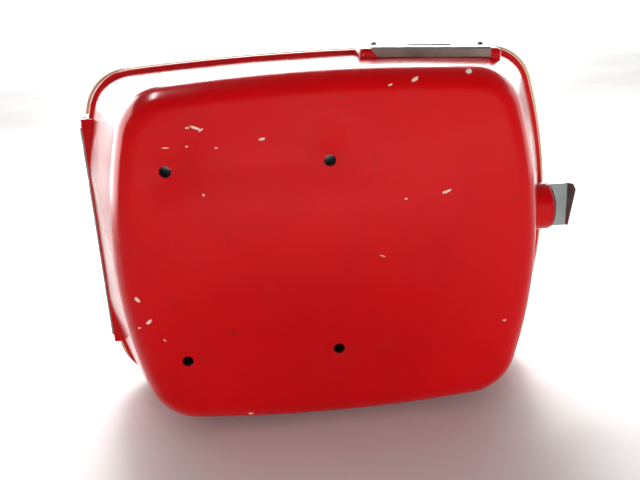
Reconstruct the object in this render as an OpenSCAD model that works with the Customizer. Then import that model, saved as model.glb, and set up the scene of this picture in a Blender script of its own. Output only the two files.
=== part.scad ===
// Wall- or post-mounted newspaper vending box: a pressed steel back shell bolted through its back,
// a side-hung display door, a coin head that shows through the door, and a side latch.
// Origin: centre of the four mounting holes on the outer back face. +Z up, -Y to the front.
// "Depth" below is the distance forward of the back face, so depth d lies at y = -d.

/* [Back shell] */
// Width across the back shell just in front of its rounded back edge
back_w = 396; // [380:1:430]
// Height across the back shell at the same place
back_h = 340; // [328:1:360]
// Depth of the back shell from the back face to its mouth
shell_d = 118; // [110:1:136]
// Flare of the left and right walls, in degrees
side_flare = 21; // [17:0.5:22]
// Draft of the top and bottom walls, in degrees
end_flare = 0.6; // [0.4:0.2:2]
// Radius between the back face and the walls
edge_r = 24; // [20:1:28]
// Corner radius of the back shell, seen from behind
back_corner_r = 50; // [44:1:56]
// Corner radius of the mouth
mouth_corner_r = 42; // [38:1:48]
// Radius of the bowed left and right walls
side_bow_r = 470; // [440:10:650]
// Radius of the bowed top and bottom walls at the back
end_bow_r = 1450; // [1200:50:2200]
// Radius of the bowed top and bottom walls at the mouth
mouth_bow_r = 2600; // [2200:50:3200]
// Thickness of the pressed sheet
sheet_t = 1.6; // [1.2:0.1:2]

/* [Mounting holes] */
// Distance between the holes across the box
bolt_w = 144; // [120:1:150]
// Distance between the holes up the box
bolt_h = 184; // [160:1:200]
// Diameter of a mounting hole
bolt_hole_d = 10.5; // [8:0.5:13]
// Distance from the box's centreline to the centre of the holes, towards the hinge
bolt_shift = 68; // [64:1:72]

/* [Front frame and seal] */
// Thickness of the frame ring on the mouth
frame_t = 8; // [6:0.5:10]
// How far the frame stands out past the mouth
frame_lip = 4.4; // [3.6:0.2:6]
// How far the frame reaches inside the mouth
frame_inset = 10; // [8:0.5:12]
// Gap between the frame and the closed door
door_gap = 3; // [2.5:0.5:4]

/* [Door] */
// Depth of the door pan
door_d = 72; // [66:1:84]
// Radius between the door's front and its walls
door_edge_r = 26; // [22:1:30]
// Draft of the door's left and right walls, in degrees
door_side_draft = 12; // [8:1:14]
// Draft of the door's top and bottom walls, in degrees
door_end_draft = 4; // [2:1:6]
// Width of the flange turned in at the door's rim
door_rim_w = 13; // [11:1:14]
// Width of the display window
window_w = 198; // [180:1:200]
// Height of the display window
window_h = 216; // [190:1:220]
// Thickness of the window sheet
lens_t = 3; // [2:0.5:4]
// How far the edge trim stands out past the frame at the sides
trim_out = 5.4; // [4:0.1:6]

/* [Hinge] */
// Length of the hinge leaves
hinge_len = 228; // [200:1:236]
// Number of knuckles, an odd number
hinge_knuckles = 9; // [7:2:13]
// Thickness of the hinge leaf
leaf_t = 1.6; // [1.2:0.1:2]
// Width of the narrow hinge leaf on the cabinet
leaf_w = 8.8; // [7.6:0.2:10]
// Width of the hinge leaf on the door
door_leaf_w = 21; // [18:1:22]
// How far the hinge side is pressed in at the mouth to lie flat behind the hinge
hinge_flat = 6; // [5:0.2:7]
// Radius of a knuckle
knuckle_r = 2.6; // [2.4:0.1:2.8]
// Radius of the hinge pin
pin_r = 1.3; // [1:0.1:1.5]

/* [Coin plate] */
// Length of the coin plate on the top wall
coin_plate_l = 115; // [100:1:118]
// Depth of the coin plate from front to back
coin_plate_d = 42; // [38:1:44]
// Height of the plate's turned-down back edge
coin_plate_drop = 9.2; // [8:0.2:10]
// Slope of the plate down to the left, which follows the bowed top wall, in degrees
coin_plate_tilt = 3.2; // [2.8:0.1:3.6]
// Slope of the plate down towards the back, in degrees
coin_plate_rake = 1.4; // [1:0.1:1.8]
// Length of the coin slot
slot_l = 28; // [25:0.5:30]
// Width of the coin slot
slot_w = 3.2; // [2.6:0.1:3.6]

/* [Side latch] */
// Radius of the latch boss on the left wall
boss_r = 24.5; // [22:0.5:26]
// Angle through which the handle turns, in degrees
handle_turn = 50; // [40:1:60]
// Crank radius of the latch cam
crank_r = 14; // [13:0.5:15]
// Radius of the handle's spindle
spindle_r = 5; // [4:0.5:5]

/* [Coin head] */
// Width of the coin head's face plate
head_w = 112; // [108:1:114]
// Height of the coin head's face plate
head_h = 236; // [230:1:240]
// Gap between the face plate and the edge of the door's cut-out
head_gap = 3; // [2.5:0.1:3.5]
// Width of the cash drawer's tray
drawer_w = 94; // [88:1:95]
// Height of the cash drawer's tray
drawer_h = 72; // [64:1:73]
// Length of the cash drawer's tray
drawer_l = 123; // [100:1:126]
// Width of the coin return flap
flap_w = 46; // [40:1:46]
// Radius of the coin return button
button_r = 8; // [7:0.2:8.4]

/* [Paper well] */
// Height of the shelf's top below the mounting holes' centre
shelf_drop = 139; // [133:1:140]
// Distance of the well's left wall from the mounting holes' centre
well_left = 116.8; // [112:0.2:118]
// Width of the follower plate
follower_w = 200; // [170:1:206]
// Radius of the follower's guide rods
rod_r = 4; // [3:0.5:5]

/* [Hidden] */

$fn = 48;
fit = 0.2;          // gap between a pad and the pressed wall that it sits on
run = 0.06;         // radial clearance of a running fit
box_x = -bolt_shift;
body_red = "#c0161c";
steel = "#8f9494";
zinc = "#b9bdbd";
dark = "#2a2a2a";

// ---- outlines -------------------------------------------------------------
side_n = 4;         // steps along a side's half, round a corner and along an end's half
corner_n = 6;
end_n = 5;

// One quarter of a bowed rectangle of half-width a and half-height b, from (a, 0) to (0, b).
// The sides are arcs of radius rs, the ends of radius rt, and the corner of radius rc is tangent to both.
function quarter(a, b, rs, rt, rc) =
    let (
        side_c = [a - rs, 0],
        end_c = [0, b - rt],
        span = norm(end_c - side_c),
        along = (end_c - side_c) / span,
        across = [-along[1], along[0]],
        p = (pow(rs - rc, 2) - pow(rt - rc, 2) + span * span) / (2 * span),
        h = sqrt(pow(rs - rc, 2) - p * p),
        c = side_c + p * along + h * across,
        f1 = atan2(c[1], c[0] - side_c[0]),
        f2 = atan2(c[1] - end_c[1], c[0])
    )
    concat(
        [for (i = [0:side_n - 1]) let (f = f1 * i / side_n) side_c + rs * [cos(f), sin(f)]],
        [for (i = [0:corner_n - 1]) let (f = f1 + (f2 - f1) * i / corner_n) c + rc * [cos(f), sin(f)]],
        [for (i = [0:end_n]) let (f = f2 + (90 - f2) * i / end_n) end_c + rt * [cos(f), sin(f)]]
    );

// The whole bowed rectangle, anticlockwise seen from the front.
function bowed(a, b, rs, rt, rc) =
    let (q = quarter(a, b, rs, rt, rc), m = len(q) - 1)
    concat(
        [for (i = [0:m - 1]) q[i]],
        [for (i = [0:m - 1]) [-q[m - i][0], q[m - i][1]]],
        [for (i = [0:m - 1]) -q[i]],
        [for (i = [0:m - 1]) [q[m - i][0], -q[m - i][1]]]
    );

function mix(a, b, t) = a + (b - a) * t;

// An outline whose hinge side is pressed flat where it would pass limit.
function flat_side(ring, limit) = [for (p = ring) [min(p[0], limit), p[1]]];

// Half-size at depth d of a pan whose closed face meets its wall in an edge of radius r.
// half is the outer half-size where the edge ends, and inset is the sheet thickness for the inside.
function pan_half(d, half, r, slope, inset) =
    let (ri = r - inset, start = r - ri * sin(slope), centre = half - r * cos(slope))
    d < start ? centre + sqrt(max(0, ri * ri - (r - d) * (r - d)))
              : centre + ri * cos(slope) + (d - start) * tan(slope);

function place(ring, d) = [for (p = ring) [box_x + p[0], -d, p[1]]];

// ---- back shell outlines ---------------------------------------------------
function shell_ring(d, inset) =
    let (
        a = pan_half(d, back_w / 2, edge_r, side_flare, inset),
        b = pan_half(d, back_h / 2, edge_r, end_flare, inset),
        shrink = max(0, back_w / 2 - inset - a),
        t = max(0, (d - edge_r) / (shell_d - edge_r))
    )
    flat_side(
        bowed(a, b, side_bow_r - inset - shrink, mix(end_bow_r, mouth_bow_r, t) - inset - shrink,
              mix(back_corner_r, mouth_corner_r, t) - inset - shrink),
        a - hinge_flat * t);

edge_steps = [0, 15, 30, 45, 60, 75, 90];
wall_steps = [0.45, 0.72, 1];
function shell_depths(inset) = concat(
    [for (s = edge_steps) edge_r - (edge_r - inset) * cos(s)],
    [for (s = wall_steps) shell_d * s]
);

mouth_a = pan_half(shell_d, back_w / 2, edge_r, side_flare, 0);
mouth_b = pan_half(shell_d, back_h / 2, edge_r, end_flare, 0);

// The mouth's outline moved out by grow.
function mouth_outline(grow) = flat_side(
    bowed(mouth_a + grow, mouth_b + grow, side_bow_r + grow, mouth_bow_r, mouth_corner_r + grow),
    mouth_a + grow - hinge_flat);

// ---- door outlines ---------------------------------------------------------
frame_front = shell_d + frame_t;
door_back = frame_front + door_gap;
door_front = door_back + door_d;
door_a = mouth_a + frame_lip - 2;
door_b = mouth_b + frame_lip - 2.4;

// Depth here runs back from the door's front face, so that the pan opens to the back.
function door_ring(back, inset) =
    let (
        half_a = door_a - (door_d - door_edge_r * (1 - sin(door_side_draft))) * tan(door_side_draft),
        half_b = door_b - (door_d - door_edge_r * (1 - sin(door_end_draft))) * tan(door_end_draft),
        a = pan_half(back, half_a, door_edge_r, door_side_draft, inset),
        b = pan_half(back, half_b, door_edge_r, door_end_draft, inset),
        shrink = max(0, half_a - inset - a),
        t = max(0, (back - door_edge_r) / (door_d - door_edge_r))
    )
    flat_side(
        bowed(a, b, side_bow_r - inset - shrink, mix(1800, mouth_bow_r, t) - inset - shrink,
              mix(back_corner_r, mouth_corner_r, t) - inset - shrink),
        mouth_a - hinge_flat - inset);

function door_depths(inset) = concat(
    [for (s = edge_steps) door_edge_r - (door_edge_r - inset) * cos(s)],
    [door_d * 0.6, door_d]
);

// ---- solids from outlines --------------------------------------------------
// Skins a list of rings, each a list of points, and closes both ends.
module loft(rings) {
    n = len(rings[0]);
    m = len(rings);
    points = [for (r = rings) for (p = r) p];
    polyhedron(points, concat(
        [[for (j = [0:n - 1]) j]],
        [for (i = [0:m - 2]) for (j = [0:n - 1])
            let (k = (j + 1) % n) [(i + 1) * n + j, (i + 1) * n + k, i * n + k]],
        [for (i = [0:m - 2]) for (j = [0:n - 1])
            let (k = (j + 1) % n) [(i + 1) * n + j, i * n + k, i * n + j]],
        [[for (j = [n - 1:-1:0]) (m - 1) * n + j]]
    ), convexity = 6);
}

// The back shell filled in, with its skin moved out by grow.
module shell_block(grow) {
    depths = [for (d = shell_depths(0)) d > 0 ? d : -grow];
    loft([for (d = depths) place(shell_ring(max(d, 0), -grow), d)]);
}

// The space inside the back shell, kept clear of its inner skin by gap.
module shell_inside(gap) {
    depths = [for (d = shell_depths(sheet_t + gap)) d];
    loft([for (d = depths) place(shell_ring(d, sheet_t + gap), d)]);
}

// The door filled in, with its skin moved out by grow.
module door_block(grow) {
    loft([for (i = [len(door_depths(0)) - 1:-1:0])
        let (d = door_depths(0)[i]) place(door_ring(d, -grow), door_front - d + (d > 0 ? 0 : grow))]);
}

// A flat shape, drawn as seen from the front, made solid between two depths.
module slab(d0, d1) {
    translate([0, -d0, 0]) rotate([90, 0, 0]) linear_extrude(d1 - d0) children();
}

// A box between two corners given as x, depth and z.
module block(low, high) {
    translate([low[0], -high[1], low[2]])
        cube([high[0] - low[0], high[1] - low[1], high[2] - low[2]]);
}

function round_rect(w, h, r) =
    [for (q = [0:3]) for (i = [0:5])
        let (f = 90 * q + 18 * i, sx = (q == 0 || q == 3) ? 1 : -1, sz = q < 2 ? 1 : -1)
        [sx * (w / 2 - r) + r * cos(f), sz * (h / 2 - r) + r * sin(f)]];

module plate(w, h, r) polygon(round_rect(w, h, r));

module ring_plate(w, h, r, band) {
    difference() {
        plate(w, h, r);
        plate(w - 2 * band, h - 2 * band, max(1, r - band));
    }
}

// A bar along X, or along Y, starting at its back end.
module bar_x(x0, x1, r) translate([x0, 0, 0]) rotate([0, 90, 0]) cylinder(r = r, h = x1 - x0);
module bar_y(d0, d1, r) translate([0, -d0, 0]) rotate([90, 0, 0]) cylinder(r = r, h = d1 - d0);

// ---- cabinet ---------------------------------------------------------------
module at_bolts() for (x = [-1, 1], z = [-1, 1])
    translate([x * bolt_w / 2, 0, z * bolt_h / 2]) children();

// Latch: the spindle's line, and the depth of the bar that it moves.
latch_z = 6;
latch_d = shell_d - boss_r + 0.5;
boss_end = box_x - mouth_a - 0.6;
bush_r = spindle_r + 2;

// Coin plate: centre of its front top edge.
coin_x = box_x - 112;
coin_top = back_h / 2 + 8.1;
coin_back = shell_d - coin_plate_d;
chute_d = coin_back + 21;
chute_w = slot_l + 8;
chute_t = 8;

module on_coin_plate() translate([coin_x, -shell_d, coin_top])
    rotate([-coin_plate_rake, -coin_plate_tilt, 0]) translate([0, shell_d, 0]) children();

module rear_shell() color(body_red) difference() {
    loft(concat(
        [for (d = shell_depths(0)) place(shell_ring(d, 0), d)],
        [for (i = [len(shell_depths(0)) - 1:-1:0])
            let (d = shell_depths(sheet_t)[i]) place(shell_ring(d, sheet_t), d)]
    ));
    at_bolts() bar_y(-1, sheet_t + 1, bolt_hole_d / 2);
    translate([0, -latch_d, latch_z]) bar_x(boss_end, boss_end + 40, bush_r + run);
    block([coin_x - chute_w / 2 - 1, chute_d - chute_t / 2 - 1, back_h / 2 - 14],
          [coin_x + chute_w / 2 + 1, chute_d + chute_t / 2 + 1, coin_top]);
}

module backing_plate() color(zinc) difference() {
    slab(sheet_t + 0.1, sheet_t + 3.1) plate(bolt_w + 44, bolt_h + 44, 12);
    at_bolts() bar_y(0, sheet_t + 4, bolt_hole_d / 2);
}

module outline_slab(d0, d1, grow) slab(d0, d1) translate([box_x, 0]) polygon(mouth_outline(grow));

module front_frame() color(body_red) difference() {
    outline_slab(shell_d, frame_front, frame_lip);
    outline_slab(shell_d - 1, frame_front + 1, -sheet_t - frame_inset);
    block([hinge_wall, shell_d - 1, hinge_z - pad_len / 2 - 1],
          [hinge_wall + 40, frame_front + 1, hinge_z + pad_len / 2 + 1]);
}

seal_t = door_gap - 0.4;
module door_seal() color(dark) difference() {
    outline_slab(frame_front, frame_front + seal_t, -3);
    outline_slab(frame_front - 1, frame_front + door_gap, -9.5);
}

// ---- hinge -----------------------------------------------------------------
hinge_z = 1.5;
pad_len = hinge_len + 17;
hinge_wall = box_x + mouth_a - hinge_flat;        // the pressed flat on the cabinet and the door
pad_face = hinge_wall + 1;                        // the face that both leaves are screwed to
hinge_x = hinge_wall + knuckle_r + 0.3;
hinge_d = frame_front + 3.5;
pad_back = hinge_d - knuckle_r - leaf_w - 1.6;
knuckle_l = hinge_len / hinge_knuckles;

// The pad between the bowed wall and the straight leaf, between two depths.
module pad_block(d0, d1) block([pad_face - 40, d0, hinge_z - pad_len / 2],
                               [pad_face, d1, hinge_z + pad_len / 2]);

module hinge_pad() color(body_red) difference() {
    pad_block(pad_back, frame_front - 0.5);
    outline_slab(pad_back - 1, shell_d - fit, 0.35);
    intersection() {
        outline_slab(shell_d - fit - 0.1, frame_front + 1, frame_lip + fit);
        block([0, shell_d - 1, -200], [hinge_wall + 0.3, frame_front + 2, 200]);
    }
}

// A leaf of width w lies from its pad to the pin. side is -1 for the cabinet's leaf and 1 for the door's.
module leaf(side, w, first) {
    near = knuckle_r + 0.7;
    d0 = side < 0 ? hinge_d - near - w : hinge_d + near;
    difference() {
        union() {
            block([pad_face, d0, hinge_z - hinge_len / 2],
                  [pad_face + leaf_t, d0 + w, hinge_z + hinge_len / 2]);
            for (i = [first:2:hinge_knuckles - 1])
                translate([0, 0, hinge_z - hinge_len / 2 + i * knuckle_l]) {
                    translate([hinge_x, -hinge_d, 0.2]) cylinder(r = knuckle_r, h = knuckle_l - 0.4);
                    block([pad_face, side < 0 ? hinge_d - near - 0.5 : hinge_d, 0.2],
                          [pad_face + leaf_t, side < 0 ? hinge_d : hinge_d + near + 0.5,
                           knuckle_l - 0.2]);
                }
        }
        translate([hinge_x, -hinge_d, hinge_z - hinge_len]) cylinder(r = pin_r + run, h = 2 * hinge_len);
    }
}

module leaf_screws(d) for (i = [0:5])
    translate([pad_face + leaf_t, -d, hinge_z + (i - 2.5) * hinge_len / 6])
        rotate([0, 90, 0]) cylinder(r1 = 3, r2 = 2, h = 1.3);

module hinge_leaf() color(steel) leaf(-1, leaf_w, 0);
module hinge_screws() color(steel) leaf_screws(hinge_d - knuckle_r - 0.7 - leaf_w / 2);
module hinge_pin() color(steel) translate([hinge_x, -hinge_d, hinge_z - hinge_len / 2]) {
    cylinder(r = pin_r, h = hinge_len);
    translate([0, 0, -2]) cylinder(r = pin_r + 1, h = 2);
    translate([0, 0, hinge_len]) cylinder(r = pin_r + 1, h = 2);
}

// ---- coin plate on the top wall ---------------------------------------------
coin_pad_l = coin_plate_l + 23;
plate_t = 1.6;

module coin_pad() color(body_red) difference() {
    on_coin_plate() block([-coin_pad_l / 2, coin_back, -30], [coin_pad_l / 2, shell_d - 1, -plate_t]);
    shell_block(fit);
    block([coin_x - chute_w / 2 - 0.5, chute_d - chute_t / 2 - 0.5, 0],
          [coin_x + chute_w / 2 + 0.5, chute_d + chute_t / 2 + 0.5, coin_top + 5]);
}

module slot_cut() block([-slot_l / 2, chute_d - slot_w / 2, -4], [slot_l / 2, chute_d + slot_w / 2, 4]);

module coin_plate() color(steel) on_coin_plate() difference() {
    union() {
        block([-coin_plate_l / 2, coin_back, -plate_t], [coin_plate_l / 2, shell_d - fit, 0]);
        slab(coin_back - plate_t, coin_back) polygon([
            [-coin_plate_l / 2, 0], [-coin_plate_l / 2, -coin_plate_drop],
            [coin_plate_l / 2 - 6, -coin_plate_drop], [coin_plate_l / 2, -coin_plate_drop + 5],
            [coin_plate_l / 2, 0]]);
    }
    slot_cut();
}

module coin_slot_bezel() color(zinc) on_coin_plate() difference() {
    block([-slot_l / 2 - 8, chute_d - 8, 0], [slot_l / 2 + 8, chute_d + 8, 0.7]);
    slot_cut();
}

module coin_plate_screws() color(dark) on_coin_plate() for (x = [-1, 1])
    translate([x * (coin_plate_l / 2 - 5), -chute_d, 0]) cylinder(r1 = 3.2, r2 = 2.2, h = 2.8);

// ---- side latch --------------------------------------------------------------
washer_t = 1.2;
bar_x0 = boss_end + 26;         // the bar's outer face
bar_t = 3;
bar_w = 16;
crank_lift = crank_r * sin(handle_turn / 2);
bar_d = latch_d + crank_r + 1;  // middle of the bar
pin_z = latch_z + 32;           // the lock pin on the bar, released
pin_d = latch_d + crank_r;
lock_pin_r = 3;

module at_latch() translate([0, -latch_d, latch_z]) children();

module latch_boss() color(body_red) difference() {
    at_latch() bar_x(boss_end, boss_end + 28, boss_r);
    at_latch() bar_x(boss_end - 1, boss_end + 30, bush_r + run);
    shell_block(fit);
    outline_slab(shell_d - fit, frame_front, frame_lip + fit);
}

module latch_bush() color("#b08d4a") at_latch() difference() {
    bar_x(boss_end, boss_end + 22, bush_r);
    bar_x(boss_end - 1, boss_end + 24, spindle_r + run);
}

module latch_washer() color(dark) at_latch() difference() {
    bar_x(boss_end - washer_t, boss_end, boss_r - 1.5);
    bar_x(boss_end - 3, boss_end + 1, spindle_r + 0.3);
}

// The pressed handle: a hub, a plate across the spindle with turned edges, and a finger lip.
handle_x = boss_end - washer_t - 0.3;
handle_half = 23;
handle_l = 19.8;
lip_w = 9.5;        // width of the finger lip at its top, and how far it is bent back
lip_angle = 42;
module latch_handle() color(zinc) at_latch() {
    difference() {
        bar_x(handle_x - 5, handle_x, 11);
        bar_x(handle_x - 4, handle_x + 1, spindle_r + run);
    }
    difference() {
        block([handle_x - handle_l, -1, -handle_half], [handle_x, 1, handle_half]);
        bar_x(handle_x - 4.9, handle_x + 1, 10.9);
    }
    translate([0, 0, handle_half - 1]) block([handle_x - handle_l + 2, 0, -1], [handle_x - 0.5, 11, 1]);
    translate([handle_x - handle_l, 0, 0]) rotate([0, 0, -lip_angle]) slab(-1, 1)
        polygon([[0.8, -handle_half], [-3, -handle_half], [-lip_w, handle_half - 6],
                 [-lip_w + 3, handle_half], [0.8, handle_half]]);
}

module latch_spindle() color(steel) at_latch() bar_x(handle_x - 4, bar_x0 + bar_t + 9, spindle_r);

module latch_cam() color(steel) at_latch() difference() {
    union() {
        bar_x(bar_x0 + bar_t + 2, bar_x0 + bar_t + 6, 10);
        rotate([handle_turn / 2, 0, 0]) {
            block([bar_x0 + bar_t + 2, 0, -4.5], [bar_x0 + bar_t + 6, crank_r, 4.5]);
            translate([0, -crank_r, 0]) bar_x(bar_x0 + bar_t + 2, bar_x0 + bar_t + 6, 4.5);
            translate([0, -crank_r, 0]) bar_x(bar_x0 - 1, bar_x0 + bar_t + 3, 3);
        }
    }
    bar_x(bar_x0, bar_x0 + bar_t + 8, spindle_r);
}

module latch_bolt() color(zinc) {
    difference() {
        block([bar_x0, bar_d - bar_w / 2 + 1, latch_z - 66],
              [bar_x0 + bar_t, bar_d + bar_w / 2 + 1, pin_z + 6]);
        translate([0, 0, latch_z - crank_lift])
            block([bar_x0 - 1, pin_d - 5.4, -3.25], [bar_x0 + bar_t + 1, pin_d + 3.6, 3.25]);
    }
    translate([0, -pin_d, pin_z]) bar_x(bar_x0 - 9, bar_x0, lock_pin_r);
}

module latch_guide() color(steel) intersection() {
    for (z = [latch_z - 62, latch_z - 32]) difference() {
        block([bar_x0 - 26, pin_d - 10, z], [bar_x0 + bar_t + 4, shell_d - 0.2, z + 10]);
        block([bar_x0 - 0.3, bar_d - bar_w / 2 + 0.7, z - 1],
              [bar_x0 + bar_t + 0.3, bar_d + bar_w / 2 + 1.3, z + 11]);
    }
    shell_inside(0.2);
}

// The strike hangs on the door's rim flange, and its notch drops over the lock pin.
strike_z = pin_z + lock_pin_r + 1.5;
module latch_strike() color(zinc) difference() {
    union() {
        block([bar_x0 - 18, door_back + sheet_t + 0.1, strike_z],
              [bar_x0 - 5, door_back + sheet_t + 2.1, strike_z + 27]);
        block([bar_x0 - 7, pin_d - 10, strike_z], [bar_x0 - 5, door_back + sheet_t + 2.1, strike_z + 27]);
    }
    block([bar_x0 - 10, pin_d - 5.5, strike_z - 1], [bar_x0, pin_d + 5.5, strike_z + 18]);
}

// ---- paper well ----------------------------------------------------------------
shelf_t = 1.5;
shelf_z = -shelf_drop;
rod_x = 66;
rod_z = shelf_z - shelf_t - rod_r - 5.5;
rear_gap = sheet_t + 3.4;        // clear of the backing plate
guide_x = follower_w / 2 + 6;    // the well's right wall

module partition() color(zinc) intersection() {
    union() {
        block([-well_left - 1.2, rear_gap, -170], [-well_left, shell_d - 1, 170]);
        block([-well_left - 1.2, rear_gap, -140], [-well_left + 14, rear_gap + 1.2, 140]);
    }
    shell_inside(0.4);
}

module paper_shelf() color(zinc) intersection() {
    difference() {
        block([-well_left + 0.1, rear_gap + 1.4, shelf_z - shelf_t], [200, shell_d - 0.5, shelf_z]);
        for (x = [-rod_x, rod_x])
            block([x - 5, rear_gap + 6, shelf_z - 5], [x + 5, shell_d - 6, shelf_z + 5]);
    }
    shell_inside(0.4);
}

module side_guide() color(zinc) intersection() {
    union() {
        block([guide_x, rear_gap + 16, shelf_z + 0.1], [guide_x + 1.2, shell_d - 1, 118]);
        block([guide_x, rear_gap + 16, shelf_z + 0.1], [guide_x + 16, shell_d - 1, shelf_z + 1.3]);
    }
    shell_inside(0.4);
}

module guide_rods() color(steel) for (x = [-rod_x, rod_x])
    translate([x, 0, rod_z]) bar_y(rear_gap + 4, shell_d - 2, rod_r);

module rod_brackets() color(zinc) difference() {
    intersection() {
        for (d = [rear_gap + 4, shell_d - 6])
            block([-rod_x - 14, d, rod_z - 8], [rod_x + 14, d + 3, shelf_z - shelf_t]);
        shell_inside(0.2);
    }
    for (x = [-rod_x, rod_x]) translate([x, 0, rod_z]) bar_y(0, shell_d, rod_r);
}

follower_d = rear_gap + 12;
module follower_plate() color(zinc) {
    block([-follower_w / 2, follower_d, shelf_z + 0.6], [follower_w / 2, follower_d + 1.5, 112]);
    for (x = [-rod_x, rod_x]) difference() {
        block([x - 4.3, follower_d, rod_z - 7], [x + 4.3, follower_d + 20, shelf_z + 8]);
        translate([x, 0, rod_z]) bar_y(follower_d - 1, follower_d + 21, rod_r + run);
    }
}

// ---- coin head -----------------------------------------------------------------
head_x = box_x - 133;
head_z = -8;
face_back = door_front + 0.5;
face_t = 3;
face_front = face_back + face_t;
house_w = head_w - 8;
house_h = head_h - 4;
house_t = 1.2;
house_back = 48;
drawer_z = head_z - house_h / 2 + 47;
cup_z = head_z + 16;
button_x = head_x - 30;
button_z = head_z + 50;
card_z = head_z + 88;

module at_head(z) translate([head_x, 0, z]) children();

module coin_housing() color(zinc) difference() {
    at_head(head_z) slab(house_back, face_back) square([house_w, house_h], center = true);
    at_head(head_z) slab(house_back + house_t, face_back + 1)
        square([house_w - 2 * house_t, house_h - 2 * house_t], center = true);
    block([coin_x - chute_w / 2 - 0.5, chute_d - chute_t / 2 - 0.5, head_z],
          [coin_x + chute_w / 2 + 0.5, chute_d + chute_t / 2 + 0.5, head_z + house_h]);
}

module housing_bracket() color(steel) translate([head_x, 0, head_z]) {
    block([-30, house_back - 1.6, -80], [30, house_back - 0.1, 80]);
    for (s = [-1, 1]) {
        block([-30, sheet_t + 1.6, s * 79.2 - 0.8], [30, house_back - 0.1, s * 79.2 + 0.8]);
        block([-30, sheet_t + 0.1, s * 86 - 7.6], [30, sheet_t + 1.6, s * 86 + 7.6]);
    }
}

module coin_faceplate() color(steel) difference() {
    at_head(head_z) slab(face_back, face_front) plate(head_w, head_h, 10);
    at_head(drawer_z) slab(face_back - 1, face_front + 1) plate(drawer_w + 6, drawer_h + 12, 5);
    at_head(cup_z) slab(face_back - 1, face_front + 1) plate(flap_w, 33, 3);
    translate([button_x, 0, button_z]) bar_y(face_back - 1, face_front + 1, button_r + 0.3);
}

module faceplate_screws() color(zinc) for (x = [-1, 1], z = [-1, 1])
    translate([head_x + x * (head_w / 2 - 6), -face_front, head_z + z * (head_h / 2 - 6)])
        rotate([90, 0, 0]) cylinder(r1 = 3, r2 = 2, h = 1.6);

// The return cup is a pressed pocket behind the flap, with a mouth in its top for returned coins.
cup_w = flap_w + 4;
cup_h = 40;
cup_d = 37;
flap_pivot_z = cup_z + 15;
flap_pivot_d = face_back - 4;
trunnion_r = 1.5;
module return_cup() color(zinc) difference() {
    at_head(cup_z) slab(face_back - cup_d, face_back) square([cup_w, cup_h], center = true);
    at_head(cup_z) slab(face_back - cup_d + house_t, face_back + 1)
        square([cup_w - 2 * house_t, cup_h - 2 * house_t], center = true);
    translate([head_x, -flap_pivot_d, flap_pivot_z]) bar_x(-cup_w, cup_w, trunnion_r + run);
    block([head_x - 16, face_back - cup_d + 4, cup_z],
          [head_x + 16, face_back - cup_d + 14, cup_z + cup_h]);
}

module return_flap() color(steel) translate([head_x, -flap_pivot_d, flap_pivot_z]) {
    block([-flap_w / 2, -0.75, -32], [flap_w / 2, 0.75, 0]);
    bar_x(-cup_w / 2 - 0.5, cup_w / 2 + 0.5, trunnion_r);
}

module button_bezel() color(zinc) translate([button_x, 0, button_z]) difference() {
    bar_y(face_front, face_front + 3, button_r + 4);
    bar_y(face_front - 1, face_front + 4, button_r + 0.3);
}

stem_r = 4;
module button_guide() color(zinc) translate([button_x, 0, button_z]) difference() {
    bar_y(face_back - 20, face_back, button_r + 3);
    bar_y(face_back - 16, face_back + 1, button_r + 0.3);
    bar_y(face_back - 21, face_back, stem_r + run);
}

module return_button() color(dark) translate([button_x, 0, button_z]) {
    bar_y(face_back - 4, face_front + 8, button_r);
    bar_y(face_back - 24, face_back - 4, stem_r);
}

chute_foot = head_z + 74;
module coin_chute() color(zinc) difference() {
    block([coin_x - chute_w / 2, chute_d - chute_t / 2, chute_foot],
          [coin_x + chute_w / 2, chute_d + chute_t / 2, coin_top - plate_t - 3]);
    block([coin_x - chute_w / 2 + 1.2, chute_d - chute_t / 2 + 1.2, chute_foot - 1],
          [coin_x + chute_w / 2 - 1.2, chute_d + chute_t / 2 - 1.2, coin_top]);
}

// The selector stands on an arm from the housing's back, with a raceway open at its top and foot.
lever_x = coin_x - 44;
lever_z = chute_foot - 16;
module coin_selector() color(zinc) difference() {
    union() {
        block([coin_x - 27, chute_d - 12, chute_foot - 38], [coin_x + 27, chute_d + 12, chute_foot]);
        block([coin_x - 22, house_back + house_t, chute_foot - 26],
              [coin_x + 22, chute_d - 12, chute_foot - 22]);
        translate([lever_x, 0, lever_z]) bar_y(chute_d - 12, chute_d - 3, 3);
        block([lever_x - 3, chute_d - 12, lever_z - 3], [coin_x - 27, chute_d - 8, lever_z + 3]);
    }
    block([coin_x - 15, chute_d - 2.6, chute_foot - 60], [coin_x + 15, chute_d + 2.6, chute_foot + 1]);
}

module trip_lever() color(steel) translate([lever_x, 0, lever_z]) difference() {
    union() {
        bar_y(chute_d - 7.6, chute_d - 4, 6);
        block([-4, chute_d - 7.6, -30], [4, chute_d - 4, 0]);
        block([-26, chute_d - 7.6, -9], [-4, chute_d - 4, 9]);
        block([-4, chute_d - 7.6, -30], [36, chute_d + 2, -27]);
    }
    bar_y(chute_d - 9, chute_d + 8, 3 + run);
}

module drawer_runners() color(steel) for (s = [-1, 1]) translate([head_x, 0, 0])
    block([s < 0 ? -house_w / 2 + house_t : drawer_w / 2 - 7,
           house_back + house_t + 2,
           head_z - house_h / 2 + house_t],
          [s < 0 ? -drawer_w / 2 + 7 : house_w / 2 - house_t,
           face_back - 3,
           drawer_z - drawer_h / 2 - 0.3]);

module cash_drawer() color(zinc) at_head(drawer_z) difference() {
    slab(door_front - 2 - drawer_l, door_front - 1) square([drawer_w, drawer_h], center = true);
    translate([0, 0, 3]) slab(door_front - 0.5 - drawer_l, door_front - 2.5)
        translate([-drawer_w / 2 + 1.5, -drawer_h / 2 - 1.5]) square([drawer_w - 3, drawer_h + 10]);
    translate([0, 0, 23]) bar_y(door_front - 4, door_front, button_r);
}

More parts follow.
